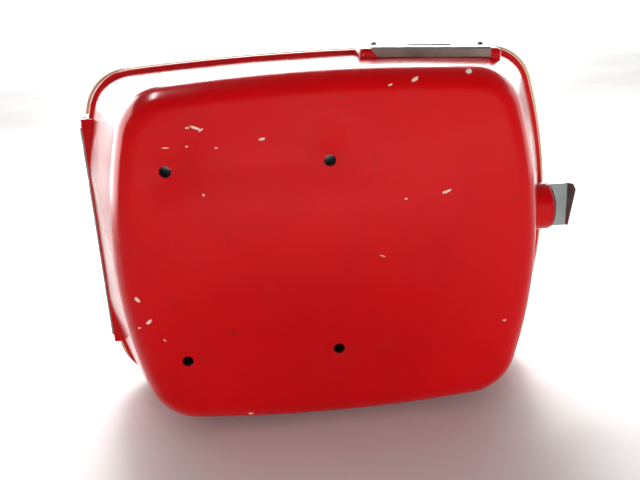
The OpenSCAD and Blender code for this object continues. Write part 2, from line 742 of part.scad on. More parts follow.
module drawer_front() color(steel) at_head(drawer_z) difference() {
    slab(door_front - 1, face_front + 0.6) plate(drawer_w + 4, drawer_h + 10, 4);
    translate([0, 0, 23]) bar_y(door_front - 4, face_front + 3, button_r);
}

module lock_bezel() color(zinc) translate([head_x, 0, drawer_z + 23]) difference() {
    bar_y(face_front + 0.6, face_front + 3.4, button_r + 5);
    bar_y(face_front - 1, face_front + 5, button_r);
}

module lock_plug() color("#c9b26b") translate([head_x, 0, drawer_z + 23]) difference() {
    bar_y(door_front - 8, face_front + 3, button_r - run);
    block([-0.9, face_front - 2, -5], [0.9, face_front + 4, 5]);
}

module lock_cam() color(steel) translate([head_x, 0, drawer_z + 23]) {
    bar_y(door_front - 10, door_front - 8, 7);
    block([0, door_front - 10, -4.5], [25, door_front - 8, 4.5]);
}

module card_holder() color(zinc) at_head(card_z)
    slab(face_front, face_front + 2.4) ring_plate(90, 40, 5, 5);
module instruction_card() color("#e9e2cf") at_head(card_z)
    slab(face_front, face_front + 0.6) plate(79.6, 29.6, 1);

// ---- door ------------------------------------------------------------------------
window_x = 10;
window_z = -4;

module at_window() translate([window_x, 0, window_z]) children();

module door_shell() color(body_red) difference() {
    outer = door_depths(0);
    inner = door_depths(sheet_t);
    last = len(outer) - 1;
    rim_in = door_ring(door_d, sheet_t + door_rim_w);
    loft(concat(
        [for (i = [0:last - 1]) place(door_ring(inner[i], sheet_t), door_front - inner[i])],
        [place(door_ring(door_d - sheet_t, sheet_t), door_back + sheet_t)],
        [place(rim_in, door_back + sheet_t), place(rim_in, door_back)],
        [for (i = [last:-1:0]) place(door_ring(outer[i], 0), door_front - outer[i])]
    ));
    at_window() slab(door_front - 10, door_front + 1) plate(window_w, window_h, 16);
    at_head(head_z) slab(door_front - 10, door_front + 1)
        plate(head_w + 2 * head_gap, head_h + 2 * head_gap, 12);
}

module door_trim() color("#c9a57c") difference() {
    slab(frame_front + 1, door_back + 5) translate([box_x, 0])
        polygon(bowed(mouth_a + frame_lip + trim_out, mouth_b + frame_lip + trim_out * 0.2,
                      side_bow_r + 10, mouth_bow_r, mouth_corner_r + frame_lip));
    slab(frame_front, door_back + 6) translate([box_x, 0]) polygon(
        bowed(door_a + 0.1, door_b + 0.1, side_bow_r, mouth_bow_r, mouth_corner_r));
    block([100, 100, hinge_z - pad_len / 2 - 1], [260, 150, hinge_z + pad_len / 2 + 1]);
}

door_leaf_d = hinge_d + knuckle_r + 0.7;
module door_hinge_pad() color(body_red) difference() {
    pad_block(door_leaf_d, door_leaf_d + door_leaf_w);
    door_block(fit);
}

module door_hinge_leaf() color(steel) leaf(1, door_leaf_w, 1);
module door_hinge_screws() color(steel) leaf_screws(door_leaf_d + door_leaf_w / 2);

gasket_t = 1.5;
gasket_back = door_front - sheet_t - gasket_t;
module window_bezel() color(zinc) at_window()
    slab(door_front, door_front + 3) ring_plate(window_w + 16, window_h + 16, 22, 10);
module window_gasket() color(dark) at_window()
    slab(gasket_back, door_front - sheet_t) ring_plate(window_w + 20, window_h + 20, 20, 12);
module window_lens() color("#cfe3e8", 0.4) at_window()
    slab(gasket_back - lens_t, gasket_back) plate(window_w + 20, window_h + 20, 20);
module window_retainer() color(zinc) at_window()
    slab(gasket_back - lens_t - 2, gasket_back - lens_t) ring_plate(window_w + 20, window_h + 20, 20, 13);

pull_x = (head_x + head_w / 2 + head_gap + window_x - window_w / 2 - 8) / 2;
pull_half = 56;
pull_reach = 26;
module door_pull() color(zinc) translate([pull_x, 0, 0]) {
    for (s = [-1, 1]) translate([0, 0, s * pull_half]) {
        bar_y(door_front, door_front + pull_reach, 5);
        bar_y(door_front, door_front + 2.5, 9);
    }
    translate([0, -door_front - pull_reach, -pull_half]) cylinder(r = 5, h = 2 * pull_half);
    for (s = [-1, 1]) translate([0, -door_front - pull_reach, s * pull_half]) sphere(r = 5);
}

module pull_screws() color(steel) for (s = [-1, 1]) translate([pull_x, 0, s * pull_half])
    bar_y(door_front - sheet_t - 3, door_front - sheet_t, 5);

rear_shell();
front_frame();
door_seal();
backing_plate();
hinge_pad();
hinge_leaf();
hinge_pin();
hinge_screws();
coin_pad();
coin_plate();
coin_slot_bezel();
coin_plate_screws();
latch_boss();
latch_bush();
latch_washer();
latch_guide();
partition();
paper_shelf();
side_guide();
guide_rods();
rod_brackets();
coin_housing();
housing_bracket();
coin_faceplate();
faceplate_screws();
return_cup();
button_bezel();
button_guide();
coin_chute();
coin_selector();
drawer_runners();
card_holder();
instruction_card();
door_shell();
door_trim();
door_hinge_pad();
door_hinge_leaf();
door_hinge_screws();
window_bezel();
window_gasket();
window_lens();
window_retainer();
door_pull();
pull_screws();
latch_strike();
latch_handle();
latch_spindle();
latch_cam();
latch_bolt();
cash_drawer();
drawer_front();
lock_bezel();
lock_plug();
lock_cam();
return_flap();
return_button();
follower_plate();
trip_lever();
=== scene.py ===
import math

import bmesh
import bpy
from mathutils import Matrix, Vector


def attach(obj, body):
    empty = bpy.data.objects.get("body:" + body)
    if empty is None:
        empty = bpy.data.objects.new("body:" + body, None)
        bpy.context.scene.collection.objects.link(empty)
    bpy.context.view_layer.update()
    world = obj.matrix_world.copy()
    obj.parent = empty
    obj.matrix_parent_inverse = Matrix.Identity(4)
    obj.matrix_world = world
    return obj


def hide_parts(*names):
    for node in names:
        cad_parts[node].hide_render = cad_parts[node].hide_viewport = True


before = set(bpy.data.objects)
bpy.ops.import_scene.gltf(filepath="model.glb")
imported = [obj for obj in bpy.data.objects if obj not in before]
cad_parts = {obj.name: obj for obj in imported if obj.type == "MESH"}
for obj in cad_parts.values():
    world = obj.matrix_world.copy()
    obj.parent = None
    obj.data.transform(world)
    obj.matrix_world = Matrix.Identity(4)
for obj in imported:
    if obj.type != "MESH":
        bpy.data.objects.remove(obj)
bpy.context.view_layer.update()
bpy.context.scene.view_settings.view_transform = "Standard"

MM = 0.001

# ---- sizes in millimetres, as in part.scad -------------------------------------
# "Depth" is the distance forward of the back face, so depth d lies at y = -d.
BOX_X = -68.0
SHEET = 1.6
BACK_W, BACK_H = 396.0, 340.0
SHELL_D = 118.0
EDGE_R = 24.0
SIDE_FLARE, END_FLARE = 21.0, 0.6
BACK_CORNER_R, MOUTH_CORNER_R = 50.0, 42.0
SIDE_BOW_R, END_BOW_R, MOUTH_BOW_R = 470.0, 1450.0, 2600.0
BOLT_W, BOLT_H, BOLT_R = 144.0, 184.0, 5.25

FRAME_T, FRAME_LIP, FRAME_INSET = 8.0, 4.4, 10.0
FRAME_FRONT = SHELL_D + FRAME_T
DOOR_BACK = FRAME_FRONT + 3.0
DOOR_D = 72.0
DOOR_FRONT = DOOR_BACK + DOOR_D
DOOR_EDGE_R = 26.0
DOOR_SIDE_DRAFT, DOOR_END_DRAFT = 12.0, 4.0
DOOR_RIM_W = 13.0
DOOR_END_BOW_R = 1800.0
TRIM_OUT = 5.4

HINGE_Z, HINGE_D, HINGE_LEN, HINGE_FLAT = 1.5, FRAME_FRONT + 3.5, 228.0, 6.0
KNUCKLE_R, LEAF_T = 2.6, 1.6
LEAF_W, DOOR_LEAF_W = 8.8, 21.0
PAD_LEN = HINGE_LEN + 17.0

COIN_X, COIN_TOP, COIN_BACK = BOX_X - 112.0, BACK_H / 2 + 8.1, SHELL_D - 42.0
COIN_L, COIN_DROP, PLATE_T = 115.0, 9.2, 1.6
COIN_TILT, COIN_RAKE = 3.2, 1.4
CHUTE_D = COIN_BACK + 21
SLOT_L, SLOT_W = 28.0, 3.2

HEAD_X, HEAD_Z = BOX_X - 133.0, -8.0
HEAD_W, HEAD_H, HEAD_GAP = 112.0, 236.0, 3.0
WINDOW_X, WINDOW_Z, WINDOW_W, WINDOW_H = 10.0, -4.0, 198.0, 216.0


# ---- outlines ------------------------------------------------------------------
def quarter(a, b, rs, rt, rc, steps):
    """One quarter of a bowed rectangle from (a, 0) to (0, b): side arc, corner arc, end arc."""
    side_c, end_c = Vector((a - rs, 0)), Vector((0, b - rt))
    span = (end_c - side_c).length
    along = (end_c - side_c) / span
    across = Vector((-along.y, along.x))
    p = ((rs - rc) ** 2 - (rt - rc) ** 2 + span * span) / (2 * span)
    centre = side_c + p * along + math.sqrt((rs - rc) ** 2 - p * p) * across
    f1 = math.atan2(centre.y, centre.x - side_c.x)
    f2 = math.atan2(centre.y - end_c.y, centre.x)
    side_n, corner_n, end_n = steps

    def arc(c, r, start, stop, n, last):
        count = n + 1 if last else n
        angles = [start + (stop - start) * i / n for i in range(count)]
        return [(c.x + r * math.cos(f), c.y + r * math.sin(f)) for f in angles]

    return (arc(side_c, rs, 0, f1, side_n, False)
            + arc(centre, rc, f1, f2, corner_n, False)
            + arc(end_c, rt, f2, math.pi / 2, end_n, True))


def bowed(a, b, rs, rt, rc, steps=(14, 16, 18)):
    """The whole bowed rectangle, anticlockwise seen from the front."""
    q = quarter(a, b, rs, rt, rc, steps)
    m = len(q) - 1
    return (q[:m]
            + [(-q[m - i][0], q[m - i][1]) for i in range(m)]
            + [(-q[i][0], -q[i][1]) for i in range(m)]
            + [(q[m - i][0], -q[m - i][1]) for i in range(m)])


def pan_half(d, half, r, slope, inset):
    """Half-size at depth d of a pan whose closed face meets its wall in an edge of radius r."""
    s = math.radians(slope)
    ri = r - inset
    start = r - ri * math.sin(s)
    centre = half - r * math.cos(s)
    if d < start:
        return centre + math.sqrt(max(0.0, ri * ri - (r - d) ** 2))
    return centre + ri * math.cos(s) + (d - start) * math.tan(s)


def mix(a, b, t):
    return a + (b - a) * t


def flat_side(outline, limit):
    """An outline whose hinge side is pressed flat where it would pass limit."""
    return [(min(x, limit), z) for x, z in outline]


def shell_outline(d, inset):
    a = pan_half(d, BACK_W / 2, EDGE_R, SIDE_FLARE, inset)
    b = pan_half(d, BACK_H / 2, EDGE_R, END_FLARE, inset)
    shrink = inset + max(0.0, BACK_W / 2 - inset - a)
    t = max(0.0, (d - EDGE_R) / (SHELL_D - EDGE_R))
    whole = bowed(a, b, SIDE_BOW_R - shrink, mix(END_BOW_R, MOUTH_BOW_R, t) - shrink,
                  mix(BACK_CORNER_R, MOUTH_CORNER_R, t) - shrink)
    return flat_side(whole, a - HINGE_FLAT * t)


MOUTH_A = pan_half(SHELL_D, BACK_W / 2, EDGE_R, SIDE_FLARE, 0)
MOUTH_B = pan_half(SHELL_D, BACK_H / 2, EDGE_R, END_FLARE, 0)
# The pressed flat behind the hinge, measured from the centreline.
HINGE_WALL = MOUTH_A - HINGE_FLAT


def mouth_outline(grow):
    whole = bowed(MOUTH_A + grow, MOUTH_B + grow,
                  SIDE_BOW_R + grow, MOUTH_BOW_R, MOUTH_CORNER_R + grow)
    return flat_side(whole, HINGE_WALL + min(grow, 0))


DOOR_A = MOUTH_A + FRAME_LIP - 2.0
DOOR_B = MOUTH_B + FRAME_LIP - 2.4


def door_half(rim_half, draft):
    s = math.radians(draft)
    return rim_half - (DOOR_D - DOOR_EDGE_R * (1 - math.sin(s))) * math.tan(s)


def door_outline(back, inset):
    """The door's outline at a distance back from its front face."""
    half_a, half_b = door_half(DOOR_A, DOOR_SIDE_DRAFT), door_half(DOOR_B, DOOR_END_DRAFT)
    a = pan_half(back, half_a, DOOR_EDGE_R, DOOR_SIDE_DRAFT, inset)
    b = pan_half(back, half_b, DOOR_EDGE_R, DOOR_END_DRAFT, inset)
    shrink = inset + max(0.0, half_a - inset - a)
    t = max(0.0, (back - DOOR_EDGE_R) / (DOOR_D - DOOR_EDGE_R))
    whole = bowed(a, b, SIDE_BOW_R - shrink, mix(DOOR_END_BOW_R, MOUTH_BOW_R, t) - shrink,
                  mix(BACK_CORNER_R, MOUTH_CORNER_R, t) - shrink)
    return flat_side(whole, HINGE_WALL - inset)


def round_rect(w, h, r, x=0.0, z=0.0, steps=10):
    points = []
    for q, (sx, sz) in enumerate(((1, 1), (-1, 1), (-1, -1), (1, -1))):
        corner_x, corner_z = x + sx * (w / 2 - r), z + sz * (h / 2 - r)
        for i in range(steps + 1):
            f = math.radians(90 * q + 90 * i / steps)
            points.append((corner_x + r * math.cos(f), corner_z + r * math.sin(f)))
    return points


def circle(r, x=0.0, z=0.0, steps=40):
    angles = [2 * math.pi * i / steps for i in range(steps)]
    return [(x + r * math.cos(f), z + r * math.sin(f)) for f in angles]


def grown(outline, amount):
    """An outline moved outward from its middle by amount."""
    n = len(outline)
    centre = Vector((sum(p[0] for p in outline) / n, sum(p[1] for p in outline) / n))
    points = []
    for p in outline:
        v = Vector(p) - centre
        points.append(centre + v * (1 + amount / v.length))
    return points


def arc_points(start, stop, step):
    """The (cosine, sine) of each angle from start to stop, in degrees."""
    angles = [math.radians(f) for f in range(start, stop + 1, step)]
    return [(math.cos(f), math.sin(f)) for f in angles]


# ---- mesh building -------------------------------------------------------------
SHARP_ANGLE = 38


def at(x, d, z):
    """A point given across, forward of the back face, and up, all in millimetres."""
    return Vector((x, -d, z)) * MM


def place(outline, d, x=0.0):
    return [at(x + p[0], d, p[1]) for p in outline]


def smooth(mesh):
    """Smooth shading that stays crisp along corners."""
    mesh.shade_smooth()
    mesh.set_sharp_from_angle(angle=math.radians(SHARP_ANGLE))


def as_object(name, mesh):
    smooth(mesh)
    obj = bpy.data.objects.new(name, mesh)
    bpy.context.collection.objects.link(obj)
    return obj


class Builder:
    """Collects rings of points into one mesh, then makes it an object with smooth shading."""

    def __init__(self):
        self.bm = bmesh.new()

    def ring(self, points):
        return [self.bm.verts.new(p) for p in points]

    def join(self, r0, r1, closed=True):
        n = len(r0)
        for j in range(n if closed else n - 1):
            k = (j + 1) % n
            self.bm.faces.new((r0[j], r0[k], r1[k], r1[j]))

    def skin(self, rings, closed=True):
        made = [self.ring(r) for r in rings]
        for r0, r1 in zip(made, made[1:]):
            self.join(r0, r1, closed)
        return made

    def cap(self, ring):
        self.bm.faces.new(ring)

    def fill(self, outer, holes):
        """Fills the flat space inside outer and outside the holes."""
        edges = []
        for loop in [outer, *holes]:
            for j, vert in enumerate(loop):
                other = loop[(j + 1) % len(loop)]
                edges.append(self.bm.edges.get((vert, other)) or self.bm.edges.new((vert, other)))
        bmesh.ops.triangle_fill(self.bm, use_beauty=True, use_dissolve=False, edges=edges)

    def make(self, name):
        bmesh.ops.remove_doubles(self.bm, verts=self.bm.verts, dist=1e-7)
        bmesh.ops.recalc_face_normals(self.bm, faces=self.bm.faces)
        mesh = bpy.data.meshes.new(name)
        self.bm.to_mesh(mesh)
        self.bm.free()
        return as_object(name, mesh)


def edge_depths(r, inset, steps=14):
    return [r - (r - inset) * math.cos(math.pi / 2 * i / steps) for i in range(steps + 1)]


def pressed_pan(name, outer, inner, holes, lip):
    """A pressed pan: outer and inner skins as lists of rings from the face to the rim, a flat face
    with holes, and a lip of rings that joins the two skins at the rim. A hole is an outline and the
    radius of its turned edge."""
    b = Builder()
    out = b.skin(outer)
    ins = b.skin(inner)
    rim = [out[-1], *[b.ring(r) for r in lip], ins[-1]]
    for r0, r1 in zip(rim, rim[1:]):
        b.join(r0, r1)
    y_out, y_in = outer[0][0].y, inner[0][0].y
    inward = math.copysign(MM, y_in - y_out)
    out_loops, in_loops = [], []
    for outline, soft in holes:
        rings = []
        for c, s in arc_points(0, 90, 30):
            y = y_out + inward * soft * (1 - c)
            rings.append([Vector((q.x * MM, y, q.y * MM)) for q in grown(outline, soft * (1 - s))])
        rings.append([Vector((q.x * MM, y_in, q.y * MM)) for q in grown(outline, 0)])
        made = b.skin(rings)
        out_loops.append(made[0])
        in_loops.append(made[-1])
    b.fill(out[0], out_loops)
    b.fill(ins[0], in_loops)
    return b.make(name)


def band(name, sections, keep=None):
    """A closed profile swept round outlines. sections is a list of (outline, depth).
    keep(x, z) leaves out a stretch of the ring, whose ends are then capped."""
    b = Builder()
    loops = [place(outline, d, BOX_X) for outline, d in sections]
    if keep is None:
        made = [b.ring(r) for r in loops]
        for r0, r1 in zip(made, made[1:] + made[:1]):
            b.join(r0, r1)
        return b.make(name)
    good = [j for j, p in enumerate(loops[0]) if keep(p.x / MM, p.z / MM)]
    slices = [b.ring([r[j] for r in loops]) for j in good]
    for s0, s1 in zip(slices, slices[1:]):
        b.join(s0, s1)
    b.cap(slices[0])
    b.cap(slices[-1])
    return b.make(name)


def lathe(name, profile, origin, axis, hollow=False, steps=64):
    """Turns a profile of (distance along the axis, radius) into a solid of revolution, or a ring."""
    b = Builder()
    spin = Vector((0, 0, 1)).rotation_difference(Vector(axis)).to_matrix()
    angles = [2 * math.pi * i / steps for i in range(steps)]
    made = []
    for along, radius in profile:
        points = [Vector((radius * math.cos(f), radius * math.sin(f), along)) * MM for f in angles]
        made.append(b.ring([Vector(origin) * MM + spin @ p for p in points]))
    for r0, r1 in zip(made, made[1:]):
        b.join(r0, r1)
    if hollow:
        b.join(made[-1], made[0])
    else:
        b.cap(made[0])
        b.cap(made[-1])
    return b.make(name)


def rounded_profile(length, radius, edge, steps=6):
    """A solid cylinder's profile whose far edge is rounded."""
    points = [(0, radius)]
    for i in range(steps + 1):
        f = math.radians(90 * i / steps)
        points.append((length - edge + edge * math.sin(f), radius - edge + edge * math.cos(f)))
    return points


def plate(name, outline, d0, d1, edge, holes):
    """A flat plate with softened edges, seen from the front, with holes through it."""
    b = Builder()
    out_front, out_back = [], []
    for loop, sign in [(outline, -1), *[(h, 1) for h in holes]]:
        rings = [place(grown(loop, 0), d0)]
        for c, s in arc_points(0, 90, 30):
            rings.append(place(grown(loop, sign * edge * (1 - c)), d1 - edge + edge * s))
        made = b.skin(rings)
        out_back.append(made[0])
        out_front.append(made[-1])
    b.fill(out_front[0], out_front[1:])
    b.fill(out_back[0], out_back[1:])
    return b.make(name)


def block(name, low, high, edge=0.6):
    """A box between two corners (x, depth, z) with softened edges."""
    b = Builder()
    sides = list(zip(low, high))
    verts = b.ring([at(x, d, z) for x in sides[0] for d in sides[1] for z in sides[2]])
    for face in ((0, 1, 3, 2), (4, 6, 7, 5), (0, 4, 5, 1), (2, 3, 7, 6), (0, 2, 6, 4), (1, 5, 7, 3)):
        b.bm.faces.new([verts[i] for i in face])
    bmesh.ops.bevel(b.bm, geom=b.bm.edges[:], offset=edge * MM, segments=3,
                    affect="EDGES", profile=0.5)
    return b.make(name)


def merged(name, objects):
    """Joins finished pieces into one mesh."""
    bm = bmesh.new()
    for obj in objects:
        bm.from_mesh(obj.data)
    mesh = bpy.data.meshes.new(name)
    bm.to_mesh(mesh)
    bm.free()
    for obj in objects:
        old = obj.data
        bpy.data.objects.remove(obj)
        bpy.data.meshes.remove(old)
    return as_object(name, mesh)


def cut(obj, cutter):
    """Takes the cutter's shape out of an object for good, and deletes the cutter."""
    mod = obj.modifiers.new("cut", "BOOLEAN")
    mod.object = cutter
    mod.solver = "EXACT"
    graph = bpy.context.evaluated_depsgraph_get()
    mesh = bpy.data.meshes.new_from_object(obj.evaluated_get(graph))
    obj.modifiers.clear()
    old = obj.data
    obj.data = mesh
    bpy.data.meshes.remove(old)
    bpy.data.objects.remove(cutter)
    smooth(mesh)
    return obj


def moved(obj, matrix):
    obj.data.transform(matrix)
    return obj


# ---- materials -----------------------------------------------------------------
class Graph:
    """Writes a material's nodes. A value is a node's output, a number or a colour."""

    def __init__(self, name):
        self.mat = bpy.data.materials.new(name)
        self.mat.use_nodes = True
        self.tree = self.mat.node_tree
        self.shader = self.tree.nodes["Principled BSDF"]
        self.coord = self.node("ShaderNodeTexCoord").outputs["Object"]

    def node(self, kind, **values):
        n = self.tree.nodes.new(kind)
        for key, value in values.items():
            setattr(n, key, value)
        return n

    def link(self, out, socket):
        if isinstance(out, (int, float, tuple)):
            socket.default_value = out
        else:
            self.tree.links.new(out, socket)

    def noise(self, scale, detail, rough=0.5, stretch=None):
        n = self.node("ShaderNodeTexNoise")
        n.inputs["Scale"].default_value = scale
        n.inputs["Detail"].default_value = detail
        n.inputs["Roughness"].default_value = rough
        source = self.coord if stretch is None else self.scaled(self.coord, stretch)
        self.link(source, n.inputs["Vector"])
        return n.outputs["Fac"]

    def scaled(self, vector, factors):
        n = self.node("ShaderNodeVectorMath", operation="MULTIPLY")
        self.link(vector, n.inputs[0])
        n.inputs[1].default_value = factors
        return n.outputs[0]

    def math(self, op, a, b=0.0):
        n = self.node("ShaderNodeMath", operation=op)
        self.link(a, n.inputs[0])
        self.link(b, n.inputs[1])
        return n.outputs[0]

    def ramp(self, value, low, high, to_low=0.0, to_high=1.0):
        n = self.node("ShaderNodeMapRange", interpolation_type="SMOOTHSTEP")
        self.link(value, n.inputs["Value"])
        n.inputs["From Min"].default_value = low
        n.inputs["From Max"].default_value = high
        n.inputs["To Min"].default_value = to_low
        n.inputs["To Max"].default_value = to_high
        return n.outputs["Result"]

    def blend(self, factor, a, b):
        n = self.node("ShaderNodeMix", data_type="RGBA")
        self.link(factor, n.inputs[0])
        self.link(a, n.inputs[6])
        self.link(b, n.inputs[7])
        return n.outputs[2]

    def blend_value(self, factor, a, b):
        n = self.node("ShaderNodeMix", data_type="FLOAT")
        self.link(factor, n.inputs[0])
        self.link(a, n.inputs[2])
        self.link(b, n.inputs[3])
        return n.outputs[0]

    def bump(self, height, distance, strength=1.0, normal=None):
        n = self.node("ShaderNodeBump")
        n.inputs["Strength"].default_value = strength
        n.inputs["Distance"].default_value = distance
        self.link(height, n.inputs["Height"])
        if normal is not None:
            self.link(normal, n.inputs["Normal"])
        return n.outputs["Normal"]

    def spot(self, x, z, half_x, half_z, turn, ragged):
        """1 inside a ragged oval on the XZ plane, in millimetres, and 0 outside."""
        parts = self.node("ShaderNodeSeparateXYZ")
        self.link(self.coord, parts.inputs[0])
        dx = self.math("SUBTRACT", parts.outputs[0], x * MM)
        dz = self.math("SUBTRACT", parts.outputs[2], z * MM)
        c, s = math.cos(math.radians(turn)), math.sin(math.radians(turn))
        u = self.math("ADD", self.math("MULTIPLY", dx, c), self.math("MULTIPLY", dz, s))
        v = self.math("SUBTRACT", self.math("MULTIPLY", dz, c), self.math("MULTIPLY", dx, s))
        u = self.math("DIVIDE", u, half_x * MM)
        v = self.math("DIVIDE", v, half_z * MM)
        squares = self.math("ADD", self.math("MULTIPLY", u, u), self.math("MULTIPLY", v, v))
        r = self.math("ADD", self.math("SQRT", squares), ragged)
        return self.ramp(r, 0.86, 1.10, 1.0, 0.0)

    def finish(self, color, rough, normal=None, **constants):
        self.link(color, self.shader.inputs["Base Color"])
        self.link(rough, self.shader.inputs["Roughness"])
        if normal is not None:
            self.link(normal, self.shader.inputs["Normal"])
        for key, value in constants.items():
            self.shader.inputs[key.replace("_", " ")].default_value = value
        return self.mat


RED = (0.560, 0.0022, 0.0042, 1)
RED_DEEP = (0.470, 0.0018, 0.0036, 1)
RED_HAZE = (0.58, 0.020, 0.022, 1)
PRIMER = (0.78, 0.62, 0.52, 1)
PRIMER_STAINED = (0.74, 0.66, 0.54, 1)
DIRT = (0.060, 0.022, 0.018, 1)
RUST = (0.16, 0.055, 0.022, 1)

# Chips on the back panel: x, z, half length, half width, turn in degrees.
BACK_CHIPS = [
    (42, 128.5, 4.6, 1.0, 24), (37.5, 126.5, 2.2, 0.8, -30), (49, 129, 1.8, 0.7, 0),
    (-14, 115, 3.0, 1.1, -10), (26, 110, 1.2, 0.8, 0), (69, 113, 3.6, 0.45, 5),
    (51, 113, 1.2, 0.6, 0), (41, 69, 1.1, 1.0, 0),
    (-149, 157, 3.2, 1.3, -25), (-127, 154, 2.0, 0.7, -15), (-198, 160, 2.8, 1.6, -20),
    (-176, 56, 4.2, 1.2, -16), (-139, 52, 1.4, 0.8, 0), (111, -25, 3.2, 1.5, 55),
    (103, -48, 3.2, 1.4, -38), (113, -54, 1.3, 0.8, -30), (91, -68, 1.8, 0.5, 40),
    (18, -157, 2.6, 1.5, 0), (-233, -77, 1.5, 0.9, 0), (-116, -1, 2.6, 0.5, 20),
]
# Thin dark scratches, given in the same way.
BACK_SCRATCHES = [(-240, 44, 9.0, 0.40, -28), (27, -67, 4.6, 0.9, 20), (-85, 147, 6.0, 0.3, 10)]
# Round ghost marks beside the holes: x, z.
BACK_GHOSTS = [(58, 92), (-83, 93), (-113, 90), (57, -93), (-84, -94), (-114, -95)]


def enamel(name, chips=(), scratches=(), ghosts=(), *, chip_amount):
    """Glossy baked red enamel over cream primer, with chips, rubs and a faint ripple."""
    g = Graph(name)
    broad = g.noise(7.0, 3.0)
    fine = g.noise(240.0, 5.0, 0.6)
    ripple = g.noise(16.0, 2.0, 0.4)
    peel = g.noise(420.0, 2.0, 0.5)
    color = g.blend(g.ramp(broad, 0.3, 0.75), RED, RED_DEEP)
    haze = g.ramp(g.noise(30.0, 6.0, 0.65), 0.50, 0.72)
    color = g.blend(g.math("MULTIPLY", haze, 0.10), color, RED_HAZE)
    ragged = g.math("MULTIPLY", g.math("SUBTRACT", g.noise(620.0, 5.0, 0.75), 0.5), 2.6)

    chipped = None
    for x, z, half_x, half_z, turn in chips:
        mark = g.spot(x, z, half_x, half_z, turn, ragged)
        chipped = mark if chipped is None else g.math("MAXIMUM", chipped, mark)
    speckle = g.math("ADD", g.noise(95.0, 6.0, 0.62), g.math("MULTIPLY", broad, 0.12))
    specks = g.math("MULTIPLY", g.ramp(speckle, 0.765, 0.785), chip_amount)
    chipped = specks if chipped is None else g.math("MAXIMUM", chipped, specks)

    edge = g.node("ShaderNodeNewGeometry").outputs["Pointiness"]
    uneven = g.math("MULTIPLY", g.math("SUBTRACT", fine, 0.5), 0.16)
    worn = g.ramp(g.math("ADD", edge, uneven), 0.60, 0.64)
    worn = g.math("MULTIPLY", worn, g.ramp(g.noise(34.0, 5.0, 0.65), 0.57, 0.63))
    chipped = g.math("MAXIMUM", chipped, g.math("MULTIPLY", worn, 0.7))

    runs = g.ramp(g.noise(70.0, 5.0, 0.6, stretch=(1.0, 1.0, 0.15)), 0.66, 0.74)
    dark = g.math("MULTIPLY", runs, 0.20)
    for x, z, half_x, half_z, turn in scratches:
        mark = g.spot(x, z, half_x, half_z, turn, ragged)
        dark = g.math("MAXIMUM", dark, g.math("MULTIPLY", mark, 0.75))
    for x, z in ghosts:
        mark = g.spot(x, z, 5.0, 5.0, 0, g.math("MULTIPLY", ragged, 0.25))
        dark = g.math("MAXIMUM", dark, g.math("MULTIPLY", mark, 0.10))
    color = g.blend(dark, color, DIRT)
    primer = g.blend(g.ramp(fine, 0.35, 0.7), PRIMER, PRIMER_STAINED)
    color = g.blend(chipped, color, primer)

    rough = g.ramp(g.noise(14.0, 5.0, 0.6), 0.35, 0.75, 0.15, 0.24)
    dull = g.math("MAXIMUM", chipped, g.math("MULTIPLY", dark, 0.6))
    rough = g.blend_value(dull, rough, 0.62)
    normal = g.bump(ripple, 0.0005, 0.08)
    normal = g.bump(peel, 0.00003, 0.2, normal)
    normal = g.bump(g.math("SUBTRACT", 1.0, chipped), 0.00022, 0.8, normal)
    return g.finish(color, rough, normal, Specular_IOR_Level=0.14)


def metal(name, light, dark, rough, grain, rust=0.0, metallic=1.0, grain_depth=0.00004):
    """Bare or plated metal with a grain, blotches, scratches and a little rust."""
    g = Graph(name)
    blotch = g.noise(22.0, 5.0, 0.6)
    lines = g.noise(260.0, 4.0, 0.7, stretch=grain)
    cross_grain = (grain[2], grain[0] * 3, grain[1])
    scratch = g.ramp(g.noise(90.0, 6.0, 0.7, stretch=cross_grain), 0.60, 0.66)
    color = g.blend(g.ramp(blotch, 0.35, 0.70), light, dark)
    color = g.blend(g.math("MULTIPLY", scratch, 0.25), color, dark)
    rusty = g.math("MULTIPLY", g.ramp(g.noise(48.0, 8.0, 0.7), 0.62, 0.72), rust)
    color = g.blend(rusty, color, RUST)
    uneven = g.math("ADD", g.math("MULTIPLY", lines, 0.5), g.math("MULTIPLY", blotch, 0.5))
    roughness = g.ramp(uneven, 0.3, 0.7, rough * 0.75, rough * 1.35)
    roughness = g.blend_value(rusty, roughness, 0.85)
    normal = g.bump(lines, grain_depth, 0.5)
    normal = g.bump(g.noise(9.0, 2.0), 0.0008, 0.15, normal)
    bare = g.math("SUBTRACT", metallic, g.math("MULTIPLY", rusty, metallic))
    g.link(bare, g.shader.inputs["Metallic"])
    return g.finish(color, roughness, normal)


def soft_stuff(name, light, dark, rough, speck=120.0, depth=0.0001):
    """Rubber, plastic, vinyl or card: a mottled colour, dust and a fine surface."""
    g = Graph(name)
    blotch = g.noise(18.0, 5.0, 0.6)
    fine = g.noise(speck, 5.0, 0.6)
    color = g.blend(g.ramp(blotch, 0.3, 0.75), light, dark)
    color = g.blend(g.math("MULTIPLY", g.ramp(fine, 0.56, 0.70), 0.30), color, dark)
    roughness = g.ramp(fine, 0.3, 0.7, rough * 0.8, min(1.0, rough * 1.2))
    return g.finish(color, roughness, g.bump(fine, depth, 0.5))


def clear_sheet(name):
    g = Graph(name)
    scuffs = g.ramp(g.noise(60.0, 8.0, 0.7, stretch=(1.0, 1.0, 0.3)), 0.52, 0.78)
    rough = g.ramp(scuffs, 0.0, 1.0, 0.03, 0.20)
    normal = g.bump(g.noise(5.0, 2.0), 0.0012, 0.25)
    color = g.blend(scuffs, (0.95, 0.98, 0.97, 1), (0.86, 0.89, 0.88, 1))
    return g.finish(color, rough, normal, Transmission_Weight=0.96, IOR=1.35)


# Stretches of the grain: the smallest number is the way the lines run.
EVEN, ALONG_X, UPRIGHT = (1, 1, 1), (0.2, 1, 1), (1, 1, 0.3)

